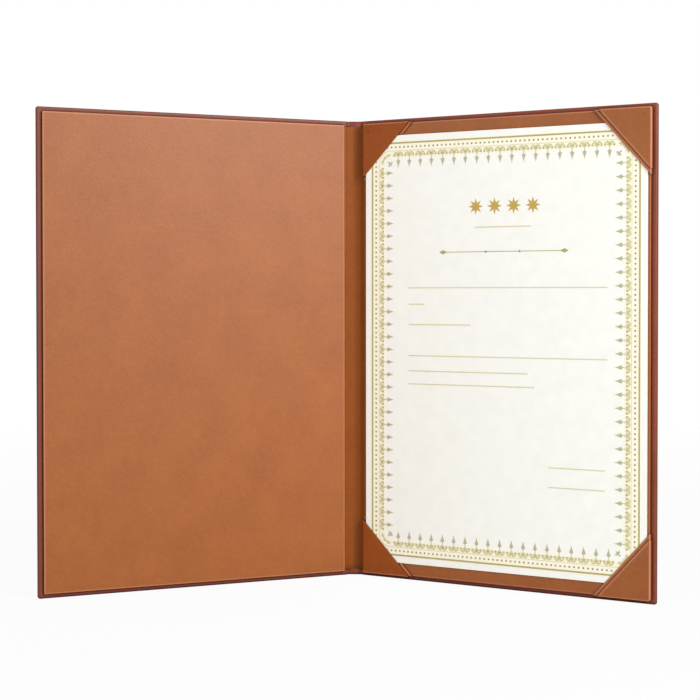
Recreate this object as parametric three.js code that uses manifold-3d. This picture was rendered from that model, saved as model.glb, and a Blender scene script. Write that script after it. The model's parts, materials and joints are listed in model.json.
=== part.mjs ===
// An open diploma cover standing on its bottom edges: two wrapped boards hinged to a narrow spine,
// a lined panel inside each board, and a certificate held by four corner pockets on the right panel.
// Millimetres, +Z up. The origin is on the ground at the middle of the standing cover's width and depth,
// and the cover opens towards -Y.
import * as THREE from 'three';
import { mergeVertices } from 'three/addons/utils/BufferGeometryUtils.js';
import Module from 'manifold-3d';

// The certificate, which the panels and the cover are cut to fit
const SHEET_WIDTH = 210;
const SHEET_HEIGHT = 297;
const SHEET_THICKNESS = 0.3;

// Margins: sheet to panel edge, then panel edge to cover edge
const SHEET_SIDE_MARGIN = 1.75;
const SHEET_END_MARGIN = 8.5;
const PANEL_GUTTER_MARGIN = 4;
const PANEL_FORE_MARGIN = 3.5;
const PANEL_END_MARGIN = 3;

// Spine, opening and corners of the cover
const SPINE_WIDTH = 10.5;
const OPEN_BEND_DEG = 28;
const COVER_CORNER_RADIUS = 3;

// Sheet materials
const LEATHER = 0.6;
const LINING = 0.3;
const COVER_CARD = 1.8;
const SPINE_CARD = 0.8;
const PANEL_CARD = 0.6;
const GLUE_LINE = 0.1;

// Folds and turned-in edges
const JOINT_WIDTH = 2;
const HINGE_CLEARANCE = 0.3;
const TURN_IN = 14;
const SPINE_HEM = 3.6;
const LEATHER_FOLD_RADIUS = 0.5;

// Inner panels
const PANEL_CORNER_RADIUS = 1.5;
const PANEL_FOLD_RADIUS = 0.25;
const PANEL_TURN_IN = 12;

// Gutter strip, a little shorter at each end than the panels that cover its edges
const STRIP_END_INSET = 1;
const GUTTER_FLANGE_WIDTH = 10.4;

// Certificate's printed border
const PRINT_THICKNESS = 0.1;
const PRINT_LIFT = 0.05;
const FRAME_MARGIN = 5.5;
const FRAME_LINE_WIDTH = 0.8;
const BAND_MARGIN = 11.4;
const BAND_LINE_WIDTH = 0.5;
const BAND_CORNER_RADIUS = 9;
const SPEAR_PITCH = 7.6;
const SPEAR_LENGTH = 10;
const SPEAR_HEAD_WIDTH = 2.6;
const SPEAR_STEM_WIDTH = 0.5;
const SPEAR_HEAD_START = 0.55;
const SPEAR_HEAD_WIDEST = 0.7;
const DIVIDER_LENGTH = 94;
const DIVIDER_WIDTH = 0.6;
const DIVIDER_DIAMOND = 2.4;
const DIVIDER_DROP = 81.5;

// Corner pockets
const POCKET_LEG = 40.5;
const POCKET_STEP = 3.2;
const POCKET_STEP_RISE = 0.25;
const POCKET_CLEARANCE = 0.3;
const POCKET_TUCK = 6;

// Sizes that follow from the certificate's
const PANEL_WIDTH = SHEET_WIDTH + 2 * SHEET_SIDE_MARGIN;
const PANEL_HEIGHT = SHEET_HEIGHT + 2 * SHEET_END_MARGIN;
const COVER_WIDTH = PANEL_GUTTER_MARGIN + PANEL_WIDTH + PANEL_FORE_MARGIN;
const COVER_HEIGHT = PANEL_HEIGHT + 2 * PANEL_END_MARGIN;

// Depths, measured outward (+Y) from the hinge lines, in each board's own frame
const LEATHER_INNER = LINING + GLUE_LINE;
const LEATHER_OUTER = LEATHER_INNER + LEATHER;
const CARD_OUTER = LEATHER_INNER - GLUE_LINE;
const CARD_INNER = CARD_OUTER - COVER_CARD;
const TURN_IN_OUTER = CARD_INNER - GLUE_LINE;
const TURN_IN_INNER = TURN_IN_OUTER - LEATHER;
const FLANGE_OUTER = TURN_IN_INNER - GLUE_LINE;
const FLANGE_INNER = FLANGE_OUTER - LINING;
const PANEL_BACK = FLANGE_INNER - GLUE_LINE;
const PANEL_CARD_BACK = PANEL_BACK - LINING - GLUE_LINE;
const PANEL_CARD_FRONT = PANEL_CARD_BACK - PANEL_CARD;
const PANEL_FRONT = PANEL_CARD_FRONT - GLUE_LINE - LINING;
const SHEET_BACK = PANEL_FRONT - GLUE_LINE;
const SHEET_FRONT = SHEET_BACK - SHEET_THICKNESS;
const PRINT_BACK = SHEET_FRONT - PRINT_LIFT;
const PRINT_FRONT = PRINT_BACK - PRINT_THICKNESS;
const POCKET_INNER = SHEET_FRONT - POCKET_CLEARANCE;
const POCKET_OUTER = POCKET_INNER - LINING;
const SPINE_CARD_INNER = CARD_OUTER - SPINE_CARD;

// Places along each board (from its hinge line) and up it
const HALF_HINGE_GAP = HINGE_CLEARANCE / 2;
const PANEL_LEFT = PANEL_GUTTER_MARGIN;
const PANEL_RIGHT = PANEL_GUTTER_MARGIN + PANEL_WIDTH;
const PANEL_BOTTOM = PANEL_END_MARGIN;
const PANEL_TOP = PANEL_BOTTOM + PANEL_HEIGHT;
const STRIP_BOTTOM = PANEL_BOTTOM + STRIP_END_INSET;
const STRIP_HEIGHT = PANEL_HEIGHT - 2 * STRIP_END_INSET;
const RISER_OUTER = JOINT_WIDTH - GLUE_LINE;
const RISER_INNER = RISER_OUTER - LINING;
const FLANGE_END = RISER_INNER + GUTTER_FLANGE_WIDTH;
const SHEET_MIDDLE_X = (PANEL_LEFT + PANEL_RIGHT) / 2;
const SHEET_MIDDLE_Z = COVER_HEIGHT / 2;
const BEYOND = 20;

const wasm = await Module();
wasm.setup();

const leather = new THREE.MeshStandardMaterial({ color: 0x8a4a36, roughness: 0.55, metalness: 0 });
const suede = new THREE.MeshStandardMaterial({ color: 0xa9653f, roughness: 0.95, metalness: 0 });
const greyBoard = new THREE.MeshStandardMaterial({ color: 0x9a9388, roughness: 0.9, metalness: 0 });
const paper = new THREE.MeshStandardMaterial({ color: 0xf1ece0, roughness: 0.8, metalness: 0 });
const goldPrint = new THREE.MeshStandardMaterial({ color: 0xb89a50, roughness: 0.5, metalness: 0.3 });

function toSolid(geometry) {
  const bare = geometry.clone();
  bare.deleteAttribute('normal');
  bare.deleteAttribute('uv');
  const merged = mergeVertices(bare, 1e-4);
  return new wasm.Manifold(new wasm.Mesh({
    numProp: 3,
    vertProperties: new Float32Array(merged.attributes.position.array),
    triVerts: new Uint32Array(merged.index.array),
  }));
}

function toGeometry(solid) {
  const mesh = solid.getMesh();
  const geometry = new THREE.BufferGeometry();
  geometry.setAttribute('position', new THREE.BufferAttribute(new Float32Array(mesh.vertProperties), 3));
  geometry.setIndex(new THREE.BufferAttribute(new Uint32Array(mesh.triVerts), 1));
  geometry.computeVertexNormals();
  return geometry;
}

// A box given by its low and high corners, in any order along each axis
function block(xA, xB, yA, yB, zA, zB) {
  const geometry = new THREE.BoxGeometry(Math.abs(xB - xA), Math.abs(yB - yA), Math.abs(zB - zA));
  return geometry.translate((xA + xB) / 2, (yA + yB) / 2, (zA + zB) / 2);
}

function polygon(points) {
  return new THREE.Shape(points.map(([a, b]) => new THREE.Vector2(a, b)));
}

// A flat outline in X and Z, given thickness from yInner out to yOuter, with both rims rounded by fold
function plate(shape, yInner, yOuter, fold = 0) {
  const geometry = new THREE.ExtrudeGeometry(shape, {
    depth: yOuter - yInner - 2 * fold,
    bevelEnabled: fold > 0,
    bevelThickness: fold,
    bevelSize: fold,
    bevelOffset: -fold,
    bevelSegments: 3,
    curveSegments: 5,
  });
  return geometry.rotateX(Math.PI / 2).translate(0, yOuter - fold, 0);
}

// A section in X and Y, drawn up from zBottom by height
function strip(points, zBottom, height) {
  const geometry = new THREE.ExtrudeGeometry(polygon(points), { depth: height, bevelEnabled: false });
  return geometry.translate(0, 0, zBottom);
}

function roundedRectangle(xA, xB, zA, zB, radius) {
  const left = Math.min(xA, xB);
  const right = Math.max(xA, xB);
  const quarter = Math.PI / 2;
  const shape = new THREE.Shape();
  shape.moveTo(left + radius, zA);
  shape.lineTo(right - radius, zA);
  shape.absarc(right - radius, zA + radius, radius, -quarter, 0, false);
  shape.lineTo(right, zB - radius);
  shape.absarc(right - radius, zB - radius, radius, 0, quarter, false);
  shape.lineTo(left + radius, zB);
  shape.absarc(left + radius, zB - radius, radius, quarter, 2 * quarter, false);
  shape.lineTo(left, zA + radius);
  shape.absarc(left + radius, zA + radius, radius, 2 * quarter, 3 * quarter, false);
  return shape;
}

// Leather sheet wrapped round three edges of the board. It runs on past the board as far as the hinge
// line, and its turned-in edges frame the bare board inside.
function coverLeather(side) {
  const outline = roundedRectangle(-side * BEYOND, side * COVER_WIDTH, 0, COVER_HEIGHT, COVER_CORNER_RADIUS);
  const hollow = roundedRectangle(-side * BEYOND * 2, side * (COVER_WIDTH - LEATHER), LEATHER,
    COVER_HEIGHT - LEATHER, COVER_CORNER_RADIUS - LEATHER);
  const foreEdge = side * (COVER_WIDTH - TURN_IN);
  const solid = toSolid(plate(outline, TURN_IN_INNER, LEATHER_OUTER, LEATHER_FOLD_RADIUS))
    .subtract(toSolid(plate(hollow, TURN_IN_OUTER, LEATHER_INNER)))
    .subtract(toSolid(block(-side * BEYOND, foreEdge, TURN_IN_INNER - 1, TURN_IN_OUTER + GLUE_LINE,
      TURN_IN, COVER_HEIGHT - TURN_IN)))
    .subtract(toSolid(block(-side * BEYOND, side * JOINT_WIDTH, TURN_IN_INNER - 1, LEATHER_INNER,
      -1, COVER_HEIGHT + 1)))
    .subtract(toSolid(block(-side * (BEYOND + 1), side * HALF_HINGE_GAP, TURN_IN_INNER - 1,
      LEATHER_OUTER + 1, -1, COVER_HEIGHT + 1)));
  return toGeometry(solid);
}

function coverBoard(side) {
  const inset = LEATHER + GLUE_LINE;
  const outline = roundedRectangle(-side * BEYOND, side * (COVER_WIDTH - inset), inset,
    COVER_HEIGHT - inset, COVER_CORNER_RADIUS - inset);
  const solid = toSolid(plate(outline, CARD_INNER, CARD_OUTER))
    .subtract(toSolid(block(-side * (BEYOND + 1), side * JOINT_WIDTH, CARD_INNER - 1, CARD_OUTER + 1,
      0, COVER_HEIGHT)));
  return toGeometry(solid);
}

// Lining folded round the panel's card, with its turned-in edges framing the card behind
function panelLining(side) {
  const left = side * PANEL_LEFT;
  const right = side * PANEL_RIGHT;
  const outline = roundedRectangle(left, right, PANEL_BOTTOM, PANEL_TOP, PANEL_CORNER_RADIUS);
  const hollow = roundedRectangle(left + side * LINING, right - side * LINING, PANEL_BOTTOM + LINING,
    PANEL_TOP - LINING, PANEL_CORNER_RADIUS - LINING);
  const solid = toSolid(plate(outline, PANEL_FRONT, PANEL_BACK, PANEL_FOLD_RADIUS))
    .subtract(toSolid(plate(hollow, PANEL_FRONT + LINING, PANEL_BACK - LINING)))
    .subtract(toSolid(block(left + side * PANEL_TURN_IN, right - side * PANEL_TURN_IN,
      PANEL_BACK - LINING - GLUE_LINE, PANEL_BACK + 1, PANEL_BOTTOM + PANEL_TURN_IN,
      PANEL_TOP - PANEL_TURN_IN)));
  return toGeometry(solid);
}

function panelBoard(side) {
  const inset = LINING + GLUE_LINE;
  const outline = roundedRectangle(side * (PANEL_LEFT + inset), side * (PANEL_RIGHT - inset),
    PANEL_BOTTOM + inset, PANEL_TOP - inset, PANEL_CORNER_RADIUS - inset);
  return plate(outline, PANEL_CARD_FRONT, PANEL_CARD_BACK);
}

// The gutter strip's part on a board: down the board's edge to the leather, and out to the hinge line
function coverGutterLining(side) {
  const section = [
    [HALF_HINGE_GAP, LINING],
    [HALF_HINGE_GAP, 0],
    [RISER_INNER, 0],
    [RISER_INNER, FLANGE_INNER],
    [FLANGE_END, FLANGE_INNER],
    [FLANGE_END, FLANGE_OUTER],
    [RISER_OUTER, FLANGE_OUTER],
    [RISER_OUTER, LINING],
  ].map(([x, y]) => [side * x, y]);
  return strip(section, STRIP_BOTTOM, STRIP_HEIGHT);
}

function spineLeather() {
  const half = SPINE_WIDTH / 2 - HALF_HINGE_GAP;
  const hemOuter = SPINE_CARD_INNER - GLUE_LINE;
  const hemInner = hemOuter - LEATHER;
  const outline = roundedRectangle(-BEYOND, BEYOND, 0, COVER_HEIGHT, COVER_CORNER_RADIUS);
  const solid = toSolid(plate(outline, hemInner, LEATHER_OUTER, LEATHER_FOLD_RADIUS))
    .subtract(toSolid(block(-BEYOND - 1, BEYOND + 1, hemOuter, LEATHER_INNER, LEATHER,
      COVER_HEIGHT - LEATHER)))
    .subtract(toSolid(block(-BEYOND - 1, BEYOND + 1, hemInner - 1, hemOuter + GLUE_LINE, SPINE_HEM,
      COVER_HEIGHT - SPINE_HEM)))
    .intersect(toSolid(block(-half, half, hemInner - 1, LEATHER_OUTER + 1, -1, COVER_HEIGHT + 1)));
  return toGeometry(solid);
}

function spineCard() {
  const half = SPINE_WIDTH / 2 - JOINT_WIDTH;
  const inset = LEATHER + GLUE_LINE;
  return block(-half, half, SPINE_CARD_INNER, CARD_OUTER, inset, COVER_HEIGHT - inset);
}

// The gutter strip's part on the spine: over the card, with a foot on the leather at each side
function spineLining() {
  const hinge = SPINE_WIDTH / 2 - HALF_HINGE_GAP;
  const riserInner = SPINE_WIDTH / 2 - JOINT_WIDTH + GLUE_LINE;
  const riserOuter = riserInner + LINING;
  const under = SPINE_CARD_INNER - GLUE_LINE;
  const top = under - LINING;
  const half = [
    [riserOuter, top],
    [riserOuter, 0],
    [hinge, 0],
    [hinge, LINING],
    [riserInner, LINING],
    [riserInner, under],
  ];
  const mirrored = half.map(([x, y]) => [-x, y]).reverse();
  return strip([...half, ...mirrored], STRIP_BOTTOM, STRIP_HEIGHT);
}

// A corner pocket of folded lining: a doubled triangle over the sheet's corner, sides down the panel's
// edges, and a strip tucked in behind the panel at its top or bottom edge
function cornerPocket(atGutter, atTop) {
  const outX = atGutter ? -1 : 1;
  const outZ = atTop ? 1 : -1;
  const cornerX = atGutter ? PANEL_LEFT : PANEL_RIGHT;
  const cornerZ = atTop ? PANEL_TOP : PANEL_BOTTOM;
  const rim = GLUE_LINE + LINING;
  const triangle = (leg, out) => polygon([
    [cornerX + outX * out, cornerZ + outZ * out],
    [cornerX - outX * leg, cornerZ + outZ * out],
    [cornerX + outX * out, cornerZ - outZ * leg],
  ]);
  const tuckOuter = PANEL_BACK + GLUE_LINE + LINING;
  const inwardX = cornerX - outX * BEYOND * 3;
  const inwardZ = cornerZ - outZ * BEYOND * 3;
  let pocket = toSolid(plate(triangle(POCKET_LEG, rim), POCKET_OUTER, tuckOuter))
    .subtract(toSolid(block(cornerX + outX * GLUE_LINE, inwardX, POCKET_INNER, PANEL_BACK + GLUE_LINE,
      cornerZ + outZ * GLUE_LINE, inwardZ)))
    .subtract(toSolid(block(cornerX + outX * BEYOND, inwardX, PANEL_BACK, tuckOuter + 1,
      cornerZ - outZ * POCKET_TUCK, inwardZ)))
    .subtract(toSolid(block(cornerX + outX * GLUE_LINE, cornerX + outX * BEYOND, PANEL_BACK,
      tuckOuter + 1, cornerZ + outZ * BEYOND, inwardZ)));
  if (atGutter) {
    pocket = pocket.subtract(toSolid(block(-BEYOND, FLANGE_END + GLUE_LINE, PANEL_BACK, tuckOuter + 1,
      cornerZ + outZ * BEYOND, inwardZ)));
  }
  const upperLayer = plate(triangle(POCKET_LEG - POCKET_STEP, rim), POCKET_OUTER - POCKET_STEP_RISE,
    POCKET_OUTER + LINING / 2);
  return toGeometry(pocket.add(toSolid(upperLayer)));
}

function certificateSheet() {
  return block(SHEET_MIDDLE_X - SHEET_WIDTH / 2, SHEET_MIDDLE_X + SHEET_WIDTH / 2, SHEET_FRONT, SHEET_BACK,
    SHEET_MIDDLE_Z - SHEET_HEIGHT / 2, SHEET_MIDDLE_Z + SHEET_HEIGHT / 2);
}

// A closed printed line with rounded corners, at a margin inside the sheet's edges
function printedLoop(margin, width, radius) {
  const halfX = SHEET_WIDTH / 2 - margin;
  const halfZ = SHEET_HEIGHT / 2 - margin;
  const loop = (inset) => roundedRectangle(SHEET_MIDDLE_X - halfX + inset, SHEET_MIDDLE_X + halfX - inset,
    SHEET_MIDDLE_Z - halfZ + inset, SHEET_MIDDLE_Z + halfZ - inset, radius - inset);
  return toSolid(plate(loop(0), PRINT_FRONT, PRINT_BACK))
    .subtract(toSolid(plate(loop(width), PRINT_FRONT - 1, PRINT_BACK + 1)));
}

// One spear of the border: a stem with a diamond head, pointing along +Z from the band's line
function spear() {
  const headStart = SPEAR_LENGTH * SPEAR_HEAD_START;
  const headWidest = SPEAR_LENGTH * SPEAR_HEAD_WIDEST;
  const stem = SPEAR_STEM_WIDTH / 2;
  const head = SPEAR_HEAD_WIDTH / 2;
  return plate(polygon([
    [-stem, -BAND_LINE_WIDTH / 2],
    [stem, -BAND_LINE_WIDTH / 2],
    [stem, headStart],
    [head, headWidest],
    [0, SPEAR_LENGTH],
    [-head, headWidest],
    [-stem, headStart],
  ]), PRINT_FRONT, PRINT_BACK);
}

function borderBand() {
  const halfX = SHEET_WIDTH / 2 - BAND_MARGIN - BAND_LINE_WIDTH;
  const halfZ = SHEET_HEIGHT / 2 - BAND_MARGIN - BAND_LINE_WIDTH;
  const cornerRoom = BAND_CORNER_RADIUS + SPEAR_LENGTH / 2;
  const spears = [];
  const row = (halfLength, halfDepth, turn) => {
    const count = Math.floor((2 * (halfLength - cornerRoom)) / SPEAR_PITCH) + 1;
    for (let i = 0; i < count; i += 1) {
      const along = (i - (count - 1) / 2) * SPEAR_PITCH;
      const placed = spear().translate(along, 0, -halfDepth).rotateY(turn);
      spears.push(toSolid(placed.translate(SHEET_MIDDLE_X, 0, SHEET_MIDDLE_Z)));
    }
  };
  row(halfX, halfZ, 0);
  row(halfX, halfZ, Math.PI);
  row(halfZ, halfX, Math.PI / 2);
  row(halfZ, halfX, -Math.PI / 2);
  let band = printedLoop(BAND_MARGIN, BAND_LINE_WIDTH, BAND_CORNER_RADIUS);
  for (const one of spears) {
    band = band.add(one);
  }
  return toGeometry(band);
}

function divider() {
  const half = DIVIDER_LENGTH / 2;
  const line = DIVIDER_WIDTH / 2;
  const tip = DIVIDER_DIAMOND / 2;
  const shape = polygon([
    [-half - tip, 0],
    [-half, -tip],
    [-half + tip, -line],
    [half - tip, -line],
    [half, -tip],
    [half + tip, 0],
    [half, tip],
    [half - tip, line],
    [-half + tip, line],
    [-half, tip],
  ]);
  return plate(shape, PRINT_FRONT, PRINT_BACK)
    .translate(SHEET_MIDDLE_X, 0, SHEET_MIDDLE_Z + SHEET_HEIGHT / 2 - DIVIDER_DROP);
}

function piece(name, geometry, material) {
  const mesh = new THREE.Mesh(geometry, material);
  mesh.name = name;
  return mesh;
}

function coverGroup(name, side) {
  const group = new THREE.Group();
  group.add(piece(`${name}_leather`, coverLeather(side), leather));
  group.add(piece(`${name}_board`, coverBoard(side), greyBoard));
  group.add(piece(`${name}_panel_lining`, panelLining(side), suede));
  group.add(piece(`${name}_panel_board`, panelBoard(side), greyBoard));
  group.add(piece(`${name}_gutter_lining`, coverGutterLining(side), suede));
  group.position.x = (side * SPINE_WIDTH) / 2;
  group.rotation.z = -side * THREE.MathUtils.degToRad(OPEN_BEND_DEG);
  return group;
}

function spineGroup() {
  const group = new THREE.Group();
  group.add(piece('spine_leather', spineLeather(), leather));
  group.add(piece('spine_card', spineCard(), greyBoard));
  group.add(piece('spine_gutter_lining', spineLining(), suede));
  return group;
}

function addCertificate(group) {
  group.add(piece('certificate', certificateSheet(), paper));
  const frameLine = printedLoop(FRAME_MARGIN, FRAME_LINE_WIDTH, BAND_CORNER_RADIUS / 3);
  group.add(piece('certificate_frame_line', toGeometry(frameLine), goldPrint));
  group.add(piece('certificate_border_band', borderBand(), goldPrint));
  group.add(piece('certificate_divider', divider(), goldPrint));
  for (const atTop of [true, false]) {
    for (const atGutter of [true, false]) {
      const place = `${atTop ? 'top' : 'bottom'}_${atGutter ? 'gutter' : 'fore'}`;
      group.add(piece(`pocket_${place}`, cornerPocket(atGutter, atTop), suede));
    }
  }
}

const backCover = coverGroup('back', 1);
addCertificate(backCover);
const standingCover = new THREE.Group();
standingCover.add(coverGroup('front', -1), spineGroup(), backCover);
const extent = new THREE.Box3().setFromObject(standingCover, true);
standingCover.position.y = -(extent.min.y + extent.max.y) / 2;
const diplomaCover = new THREE.Group();
diplomaCover.add(standingCover);

export default diplomaCover;
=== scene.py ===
# %% [markdown]
# # An open diploma cover
#
# The object is an A4 certificate folder. Two boards wrapped in brown synthetic leather are joined by a
# narrow spine, and each board carries a lined panel inside. The right panel holds a certificate with a
# gold border in four corner pockets. The cover stands on its lower edges, opened like a V.
#
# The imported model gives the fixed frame: what the pieces are, where they sit and how they turn. This
# script makes the surfaces that the eye meets, such as the wrapped leather, the folded lining and the
# printed border.

# %% The frame, and the sizes that this script repeats
import json
from math import cos, pi, radians, sin

import bmesh
import bpy
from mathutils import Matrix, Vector


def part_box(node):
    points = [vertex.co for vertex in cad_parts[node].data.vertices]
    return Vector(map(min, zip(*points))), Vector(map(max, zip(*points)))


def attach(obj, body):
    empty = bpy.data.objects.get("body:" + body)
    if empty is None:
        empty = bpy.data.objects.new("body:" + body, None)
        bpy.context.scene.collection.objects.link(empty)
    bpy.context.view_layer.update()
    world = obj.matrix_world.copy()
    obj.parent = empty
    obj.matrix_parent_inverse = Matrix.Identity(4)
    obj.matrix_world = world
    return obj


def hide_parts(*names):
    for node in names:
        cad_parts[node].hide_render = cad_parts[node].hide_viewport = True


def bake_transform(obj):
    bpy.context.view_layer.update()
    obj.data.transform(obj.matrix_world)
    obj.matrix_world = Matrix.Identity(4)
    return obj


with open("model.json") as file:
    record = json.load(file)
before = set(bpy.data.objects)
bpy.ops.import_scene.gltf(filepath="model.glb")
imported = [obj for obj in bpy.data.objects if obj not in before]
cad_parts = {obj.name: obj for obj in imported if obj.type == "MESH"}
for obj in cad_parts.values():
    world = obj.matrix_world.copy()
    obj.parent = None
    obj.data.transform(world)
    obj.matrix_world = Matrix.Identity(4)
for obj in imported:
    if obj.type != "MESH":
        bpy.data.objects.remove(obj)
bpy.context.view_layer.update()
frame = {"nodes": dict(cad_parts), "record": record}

MM = 0.001
hinges = {joint["name"]: joint for joint in frame["record"]["behaviour"]["joints"]}
HINGE_Y = hinges["back_hinge"]["pos_m"][1] / MM
HALF_SPINE = hinges["back_hinge"]["pos_m"][0] / MM
BEND = radians(-hinges["back_hinge"]["range_deg"][0])
COVER_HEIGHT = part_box("back_leather")[1].z / MM
COVER_WIDTH = 221
print(f"hinges {2 * HALF_SPINE:.1f} mm apart, cover {COVER_HEIGHT:.0f} mm high, each board bent {BEND:.3f} rad")

# %% [markdown]
# ## Depths through one cover
#
# Every layer is given by its depth from the hinge line, in the board's own frame: plus is towards the
# outside of the cover, minus is towards the reader. The numbers are millimetres.

# %% Depths and sheet thicknesses
LEATHER = 0.6
LINING = 0.3
LEATHER_OUTER = 1.0
TURN_IN_INNER = -2.2
SPINE_HEM_INNER = -1.2
FLANGE_INNER = -2.6
SPINE_LINING_INNER = -0.9
PANEL_BACK = -2.7
PANEL_FRONT = -4.1
SHEET_FRONT = -4.5

# %% Places along a board, from its hinge line, and up it
JOINT_WIDTH = 2.0
SPINE_CARD_HALF = 3.25
PANEL_LEFT = 4.0
PANEL_RIGHT = 217.5
PANEL_BOTTOM = 3.0
PANEL_TOP = 317.0
STRIP_BOTTOM = 4.0
STRIP_TOP = 316.0
FLANGE_END = 12.0
SHEET_WIDTH = 210
SHEET_HEIGHT = 297
SHEET_MIDDLE_X = (PANEL_LEFT + PANEL_RIGHT) / 2
SHEET_MIDDLE_Z = COVER_HEIGHT / 2

# %% [markdown]
# ## Camera
#
# The photograph looks almost straight at the open cover from a little right of the spine, at about
# six tenths of its height. A long lens keeps the uprights parallel. Where it stands was worked out from
# the edges of the two boards, and a small shift frames the object as the photograph does.

# %% Camera
PHOTO_PIXELS = 700
FOCAL_PIXELS = 1632.5
CAMERA_PLACE = Vector((78.1, -1097.9, 197.5)) * MM
CAMERA_TURN = radians(2.901)
CAMERA_TILT = radians(1.163)
CAMERA_SHIFT = (-0.0472, -0.0305)

camera_data = bpy.data.cameras.new("camera")
camera_data.sensor_width = 36
camera_data.lens = FOCAL_PIXELS / PHOTO_PIXELS * camera_data.sensor_width
camera_data.shift_x, camera_data.shift_y = CAMERA_SHIFT
camera = bpy.data.objects.new("camera", camera_data)
camera.location = CAMERA_PLACE
camera.rotation_euler = (pi / 2 - CAMERA_TILT, 0, CAMERA_TURN)
bpy.context.collection.objects.link(camera)
bpy.context.scene.camera = camera
print(f"lens {camera_data.lens:.1f} mm")

# %% [markdown]
# ## Floor and light
#
# A pale floor carries on into a backdrop that looks white to the camera. In the photograph the left
# panel is the brighter one, it carries a pale veil of gloss, and both are brighter at the top. So one
# soft lamp stands a little high on the right: there it faces the left panel, and its mirror image falls
# on that panel's upper half. Two weak lamps, in front and on the left, and a plain world fill the rest.
# Their powers were fitted to the photograph's colours at a few places on the lining and the sheet.

# %% A small helper that adds a shader or geometry node
def add(tree, kind, inputs=None, **settings):
    """Adds a node, sets its settings, and gives each named input a value or a link."""
    new = tree.nodes.new(kind)
    for name, value in settings.items():
        setattr(new, name, value)
    for name, value in (inputs or {}).items():
        if isinstance(value, bpy.types.NodeSocket):
            tree.links.new(value, new.inputs[name])
        else:
            new.inputs[name].default_value = value
    return new


# %% Colours are written as sRGB hex values
def colour(hex_value):
    """The linear colour of an sRGB hex value such as B87A5A."""
    channels = [int(hex_value[i:i + 2], 16) / 255 for i in (0, 2, 4)]
    linear = [c / 12.92 if c <= 0.04045 else ((c + 0.055) / 1.055) ** 2.4 for c in channels]
    return (*linear, 1.0)


# %% World and floor
WORLD_STRENGTH = 0.44
FLOOR_SIZE = 8.0
NEAR_FLOOR = 0.3
FAR_FLOOR = 1.5
NEAR_WHITENING = 0.94

world = bpy.data.worlds.new("studio")
world.use_nodes = True
bpy.context.scene.world = world
tree = world.node_tree
tree.nodes.clear()
plain = add(tree, "ShaderNodeBackground", {"Color": colour("FFFFFF"), "Strength": WORLD_STRENGTH})
white = add(tree, "ShaderNodeBackground", {"Color": colour("FFFFFF"), "Strength": 1.0})
rays = add(tree, "ShaderNodeLightPath")
seen = add(tree, "ShaderNodeMixShader", {
    0: rays.outputs["Is Camera Ray"], 1: plain.outputs[0], 2: white.outputs[0]})
add(tree, "ShaderNodeOutputWorld", {"Surface": seen.outputs[0]})

floor_mesh = bpy.data.meshes.new("floor")
half = FLOOR_SIZE / 2
floor_corners = [(-half, -half, 0), (half, -half, 0), (half, half, 0), (-half, half, 0)]
floor_mesh.from_pydata(floor_corners, [], [(0, 1, 2, 3)])
floor = bpy.data.objects.new("floor", floor_mesh)
bpy.context.collection.objects.link(floor)

# To the camera the floor is nearly white by the cover, where it keeps a faint shadow, and white far away
floor_paint = bpy.data.materials.new("white_floor")
floor_paint.use_nodes = True
tree = floor_paint.node_tree
tree.nodes.clear()
matt = add(tree, "ShaderNodeBsdfDiffuse", {"Color": colour("CFCFCF")})
glow = add(tree, "ShaderNodeEmission", {"Color": colour("FFFFFF"), "Strength": 1.0})
floor_rays = add(tree, "ShaderNodeLightPath")
floor_place = add(tree, "ShaderNodeTexCoord").outputs["Object"]
from_middle = add(tree, "ShaderNodeVectorMath", {0: floor_place}, operation="LENGTH")
whitening = add(tree, "ShaderNodeMapRange", {
    "Value": from_middle.outputs["Value"], "From Min": NEAR_FLOOR, "From Max": FAR_FLOOR,
    "To Min": NEAR_WHITENING, "To Max": 1.0})
share = add(tree, "ShaderNodeMath", {
    0: floor_rays.outputs["Is Camera Ray"], 1: whitening.outputs["Result"]}, operation="MULTIPLY")
floor_mix = add(tree, "ShaderNodeMixShader", {
    0: share.outputs[0], 1: matt.outputs[0], 2: glow.outputs[0]})
add(tree, "ShaderNodeOutputMaterial", {"Surface": floor_mix.outputs[0]})
floor_mesh.materials.append(floor_paint)
print(f"floor {FLOOR_SIZE:.0f} m wide")

# %% Lamps, each with its place in metres and its power in watts, all looking at the cover's middle
LAMP_SIZE = 0.45
COVER_MIDDLE = Vector((0, 0, COVER_HEIGHT * MM / 2))
LAMPS = {
    "key_lamp": ((0.95, -0.85, 0.75), 18.3),
    "front_lamp": ((-0.3, -1.3, 0.3), 2.4),
    "left_lamp": ((-0.9, -0.7, 0.5), 2.2),
}
for name, (place, power) in LAMPS.items():
    lamp = bpy.data.lights.new(name, "AREA")
    lamp.shape = "RECTANGLE"
    lamp.size = LAMP_SIZE
    lamp.size_y = LAMP_SIZE
    lamp.energy = power
    holder = bpy.data.objects.new(name, lamp)
    holder.location = place
    holder.rotation_euler = (COVER_MIDDLE - Vector(place)).to_track_quat("-Z", "Y").to_euler()
    bpy.context.collection.objects.link(holder)
print(f"{len(LAMPS)} lamps")

# %% [markdown]
# ## Leather
#
# The outside is PU leather: a fabric coated with polyurethane and pressed with a fine pebble grain. The
# coating gives it a low, even gloss, and the grain breaks the highlights up. Real pebbles are about
# half a millimetre across. They are drawn a little larger here, so that they show in the render. The
# folded edge carries painted shade, darker on the front cover, and a point attribute says where.

# %% Painted shade in narrow gaps
GAP_REACH = 2.5 * MM
GUTTER_REACH = 9.0 * MM
SHUT_AT = 0.42
OPEN_AT = 0.97


def blended(tree, factor, first, second):
    """The colour between two others, by a factor from 0 to 1."""
    mix = add(tree, "ShaderNodeMix", {"Factor": factor, 6: first, 7: second}, data_type="RGBA")
    return mix.outputs[2]


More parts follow.
